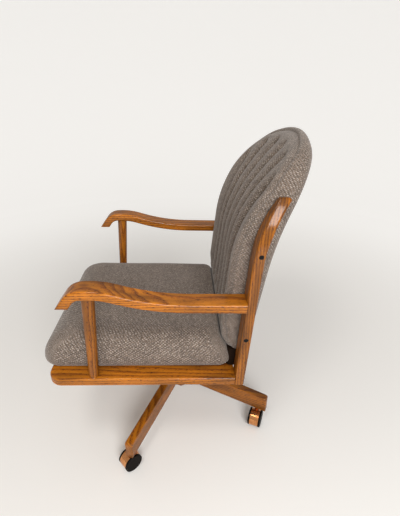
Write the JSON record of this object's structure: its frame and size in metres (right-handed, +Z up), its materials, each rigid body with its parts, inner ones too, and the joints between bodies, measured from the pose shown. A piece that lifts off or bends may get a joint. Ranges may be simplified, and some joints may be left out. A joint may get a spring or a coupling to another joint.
{
  "type": "bankers swivel armchair",
  "caption": "Upholstered swivel and tilt armchair: oak arms, posts and rails, channelled arched back, crossed oak legs with an offset hub, hooded twin casters",
  "frame": {"origin": "on the floor, on the swivel axis", "axes": "+Z up; the chair faces -Y; +X is the sitter's left"},
  "size_m": [0.6605, 0.735, 0.9867],
  "materials": {
    "oak": "glossy golden-brown lacquer over open oak grain",
    "beech": "planed, unfinished",
    "plywood": "sanded birch plywood",
    "tweed": "taupe tweed upholstery, plain woven",
    "black_steel": "satin black powder coat",
    "zinc_steel": "bright zinc plate",
    "spring_steel": "oiled spring wire",
    "nylon": "natural nylon",
    "rubber": "moulded black rubber",
    "black_plastic": "moulded, satin",
    "copper_plate": "antique copper-brass plate, polished",
    "wheel_plastic": "near-black brown moulded wheel"
  },
  "bodies": {
    "base": {"base_hub": "oak", "front_left_leg": "oak", "rear_left_leg": "oak", "rear_right_leg": "oak", "front_right_leg": "oak", "leg_bolts": "zinc_steel", "column_tube": "black_steel", "column_bushes": "nylon", "caster_sockets": "zinc_steel"},
    "swivel_head": {"spindle": "zinc_steel", "spindle_clip": "zinc_steel", "thrust_washer": "zinc_steel", "tilt_housing": "black_steel", "tilt_spring": "spring_steel", "rest_bumpers": "rubber"},
    "seat": {"seat_plate": "black_steel", "tilt_pin": "zinc_steel", "plate_bolts": "zinc_steel", "seat_screws": "zinc_steel", "front_cross_rail": "beech", "rear_cross_rail": "beech", "seat_board": "plywood", "seat_cushion": "tweed", "left_side_rail": "oak", "right_side_rail": "oak", "left_arm_post": "oak", "right_arm_post": "oak", "left_arm": "oak", "right_arm": "oak", "left_upright": "oak", "right_upright": "oak", "frame_dowels": "beech", "back_board": "plywood", "back_cushion": "tweed", "back_panel": "tweed", "back_bolts": "zinc_steel", "bolt_caps": "black_plastic"},
    "tension_bolt": {"tension_bolt": "zinc_steel", "spring_cup": "black_steel"},
    "tension_knob": {"tension_knob": "black_plastic"},
    "front_left_caster": {"front_left_caster_hood": "copper_plate", "front_left_caster_stem": "zinc_steel", "front_left_caster_axle": "zinc_steel"},
    "front_left_wheel_a": {"front_left_caster_wheel_a": "wheel_plastic"},
    "front_left_wheel_b": {"front_left_caster_wheel_b": "wheel_plastic"},
    "rear_left_caster": {"rear_left_caster_hood": "copper_plate", "rear_left_caster_stem": "zinc_steel", "rear_left_caster_axle": "zinc_steel"},
    "rear_left_wheel_a": {"rear_left_caster_wheel_a": "wheel_plastic"},
    "rear_left_wheel_b": {"rear_left_caster_wheel_b": "wheel_plastic"},
    "rear_right_caster": {"rear_right_caster_hood": "copper_plate", "rear_right_caster_stem": "zinc_steel", "rear_right_caster_axle": "zinc_steel"},
    "rear_right_wheel_a": {"rear_right_caster_wheel_a": "wheel_plastic"},
    "rear_right_wheel_b": {"rear_right_caster_wheel_b": "wheel_plastic"},
    "front_right_caster": {"front_right_caster_hood": "copper_plate", "front_right_caster_stem": "zinc_steel", "front_right_caster_axle": "zinc_steel"},
    "front_right_wheel_a": {"front_right_caster_wheel_a": "wheel_plastic"},
    "front_right_wheel_b": {"front_right_caster_wheel_b": "wheel_plastic"}
  },
  "joints": [
    {"name": "seat_swivel", "type": "hinge", "parent": "base", "child": "swivel_head", "pos_m": [0, 0, 0.26], "axis": [0, 0, 1], "continuous": true},
    {"name": "seat_tilt", "type": "hinge", "parent": "swivel_head", "child": "seat", "pos_m": [0, 0.018, 0.304], "axis": [-1, 0, 0], "range_deg": [0, 12], "stiffness_Nm_per_rad": 150, "springref_deg": -11.46},
    {"name": "tension_bolt_slide", "type": "slide", "parent": "swivel_head", "child": "tension_bolt", "axis": [0, 0, 1], "range_m": [0, 0.0265], "deforming": ["tilt_spring"]},
    {"name": "tension_knob_turn", "type": "hinge", "parent": "tension_bolt", "child": "tension_knob", "pos_m": [0, -0.1, 0.177], "axis": [0, 0, 1], "continuous": true},
    {"name": "front_left_caster_swivel", "type": "hinge", "parent": "base", "child": "front_left_caster", "pos_m": [0.28066, -0.13628, 0.08], "axis": [0, 0, 1], "continuous": true},
    {"name": "front_left_wheel_a_roll", "type": "hinge", "parent": "front_left_caster", "child": "front_left_wheel_a", "pos_m": [0.29362, -0.15151, 0.029], "axis": [0.7615, 0.6481, 0], "continuous": true},
    {"name": "front_left_wheel_b_roll", "type": "hinge", "parent": "front_left_caster", "child": "front_left_wheel_b", "pos_m": [0.29362, -0.15151, 0.029], "axis": [0.7615, 0.6481, 0], "continuous": true},
    {"name": "rear_left_caster_swivel", "type": "hinge", "parent": "base", "child": "rear_left_caster", "pos_m": [0.13628, 0.28066, 0.08], "axis": [0, 0, 1], "continuous": true},
    {"name": "rear_left_wheel_a_roll", "type": "hinge", "parent": "rear_left_caster", "child": "rear_left_wheel_a", "pos_m": [0.15444, 0.27227, 0.029], "axis": [0.4195, 0.9078, 0], "continuous": true},
    {"name": "rear_left_wheel_b_roll", "type": "hinge", "parent": "rear_left_caster", "child": "rear_left_wheel_b", "pos_m": [0.15444, 0.27227, 0.029], "axis": [0.4195, 0.9078, 0], "continuous": true},
    {"name": "rear_right_caster_swivel", "type": "hinge", "parent": "base", "child": "rear_right_caster", "pos_m": [-0.28066, 0.13628, 0.08], "axis": [0, 0, 1], "continuous": true},
    {"name": "rear_right_wheel_a_roll", "type": "hinge", "parent": "rear_right_caster", "child": "rear_right_wheel_a", "pos_m": [-0.30042, 0.13941, 0.029], "axis": [-0.1564, -0.9877, 0], "continuous": true},
    {"name": "rear_right_wheel_b_roll", "type": "hinge", "parent": "rear_right_caster", "child": "rear_right_wheel_b", "pos_m": [-0.30042, 0.13941, 0.029], "axis": [-0.1564, -0.9877, 0], "continuous": true},
    {"name": "front_right_caster_swivel", "type": "hinge", "parent": "base", "child": "front_right_caster", "pos_m": [-0.13628, -0.28066, 0.08], "axis": [0, 0, 1], "continuous": true},
    {"name": "front_right_wheel_a_roll", "type": "hinge", "parent": "front_right_caster", "child": "front_right_wheel_a", "pos_m": [-0.15286, -0.29185, 0.029], "axis": [0.5592, -0.829, 0], "continuous": true},
    {"name": "front_right_wheel_b_roll", "type": "hinge", "parent": "front_right_caster", "child": "front_right_wheel_b", "pos_m": [-0.15286, -0.29185, 0.029], "axis": [0.5592, -0.829, 0], "continuous": true}
  ],
  "couplings": [
    {"joint": "tension_bolt_slide", "follows": "seat_tilt", "m_per_rad": 0.12505}
  ]
}
